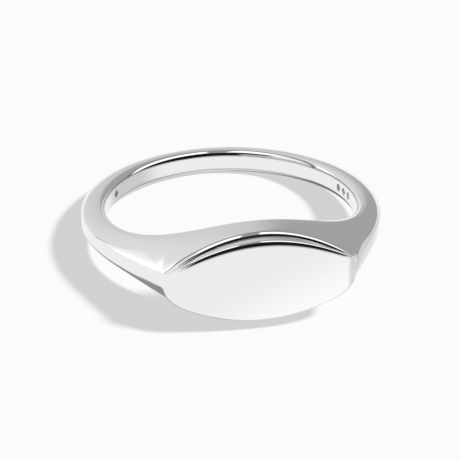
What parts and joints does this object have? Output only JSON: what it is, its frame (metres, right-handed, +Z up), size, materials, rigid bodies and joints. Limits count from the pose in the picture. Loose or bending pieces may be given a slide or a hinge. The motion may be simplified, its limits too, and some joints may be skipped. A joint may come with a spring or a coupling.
{
  "type": "signet ring",
  "caption": "Polished silver signet ring: a plain rounded shank swells into a head that carries a flat marquise face lying across the finger.",
  "frame": {"origin": "centre of the footprint, on the surface that the ring lies on", "axes": "+Z up from that surface with the ring lying on its side, the face towards -Y, the back of the shank towards +Y, X across the finger along the length of the face; the finger axis leans 7.7 degrees from +Z"},
  "size_m": [0.0206, 0.0214, 0.0066],
  "materials": {
    "silver": "mirror-polished sterling silver",
    "silver_face": "mirror-polished sterling silver, unengraved",
    "solder": "silver solder, polished flush"
  },
  "bodies": {
    "root": {"signet_head": "silver", "signet_plate": "silver_face", "shank": "silver", "plate_solder": "solder", "left_shank_solder": "solder", "right_shank_solder": "solder"}
  },
  "joints": []
}
